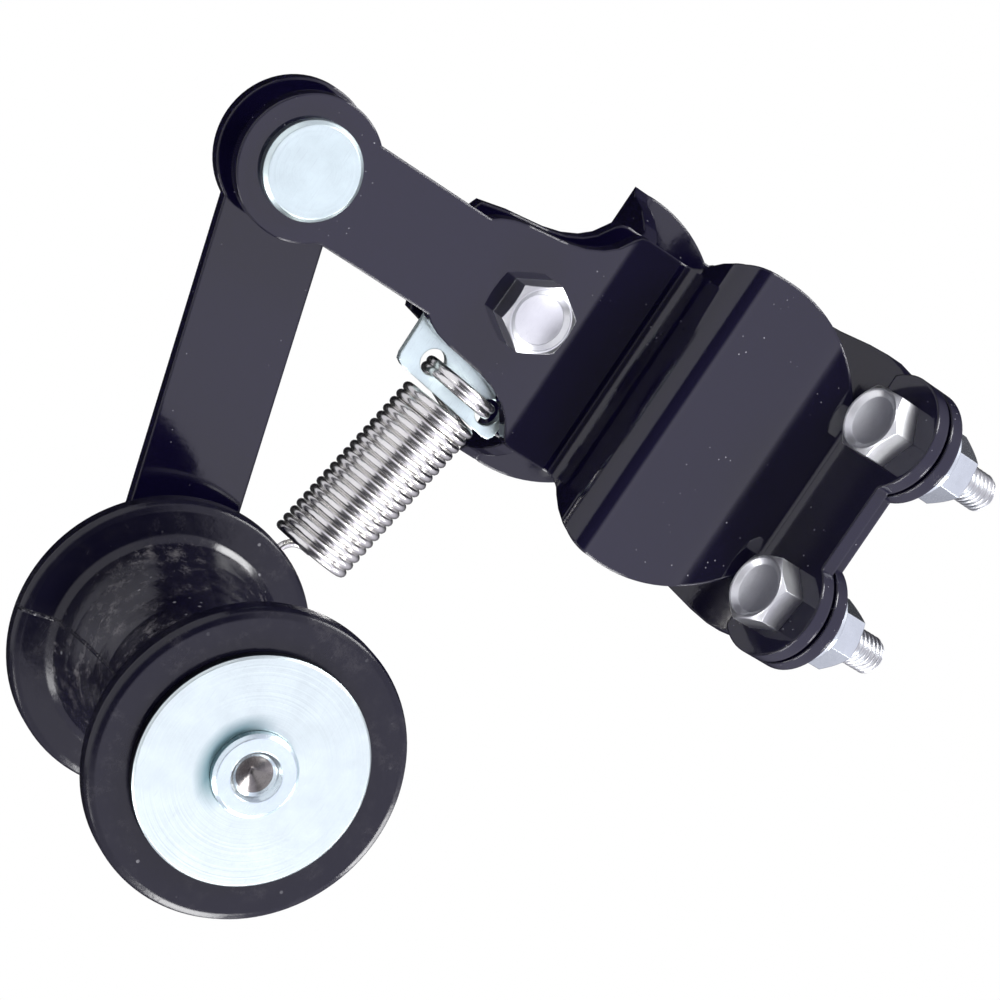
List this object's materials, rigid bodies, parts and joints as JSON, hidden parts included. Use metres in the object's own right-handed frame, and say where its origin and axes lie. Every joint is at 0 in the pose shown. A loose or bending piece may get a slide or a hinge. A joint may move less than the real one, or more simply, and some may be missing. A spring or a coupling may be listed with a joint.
{
  "type": "chain_tensioner",
  "caption": "Spring-loaded chain tensioner with a folded two-part tube clamp, a swing link, an extension spring and a flanged roller",
  "frame": {"origin": "centre of the seat for the frame tube, between the two clamp plates", "axes": "+X along the tube towards the roller, +Z from the pivot up to the clamp, the front with the bolt heads faces -Y"},
  "size_m": [0.1164, 0.0765, 0.1251],
  "materials": {
    "black_coat": "gloss",
    "blue_zinc": "satin",
    "zinc_steel": "satin",
    "black_steel": "satin",
    "black_plastic": "gloss",
    "bronze": "satin",
    "spring_wire": "satin"
  },
  "bodies": {
    "frame_clamp": {"front_clamp_plate": "black_coat", "rear_clamp_plate": "black_coat", "spring_hook_plate": "blue_zinc", "arm_bolt": "zinc_steel", "arm_bolt_washer": "zinc_steel", "arm_bolt_spacer": "zinc_steel", "arm_bolt_nut": "zinc_steel", "upper_clamp_bolt": "zinc_steel", "lower_clamp_bolt": "zinc_steel", "upper_clamp_nut": "zinc_steel", "lower_clamp_nut": "zinc_steel", "pivot_pin": "blue_zinc", "pivot_spacer": "zinc_steel", "pivot_washer": "zinc_steel", "pivot_clip": "black_steel"},
    "swing_arm": {"swing_link": "black_coat", "roller_axle": "blue_zinc", "axle_spacer": "zinc_steel", "axle_cap_washer": "blue_zinc"},
    "roller": {"roller_spool": "black_plastic", "front_bush": "bronze", "rear_bush": "bronze"},
    "spring": {"tension_spring": "spring_wire"},
    "spring_end": {"spring_anchor_pin": "zinc_steel"}
  },
  "joints": [
    {"name": "swing", "type": "hinge", "parent": "frame_clamp", "child": "swing_arm", "pos_m": [0, 0, -0.0709], "axis": [0, 1, 0], "range_deg": [0, 30], "stiffness_Nm_per_rad": 0.8},
    {"name": "roller_spin", "type": "hinge", "parent": "swing_arm", "child": "roller", "pos_m": [0.06941, 0, -0.04928], "axis": [0, 1, 0], "continuous": true},
    {"name": "spring_turn", "type": "hinge", "parent": "frame_clamp", "child": "spring", "pos_m": [0.01483, 0, -0.03096], "axis": [0, 1, 0], "range_deg": [0, 30]},
    {"name": "spring_stretch", "type": "slide", "parent": "spring", "child": "spring_end", "axis": [0.9866, 0, -0.1633], "range_m": [0, 0.0225], "deforming": ["tension_spring"]}
  ],
  "couplings": [
    {"joint": "spring_turn", "follows": "swing", "ratio": 0.98},
    {"joint": "spring_stretch", "follows": "swing", "m_per_rad": 0.0424}
  ]
}
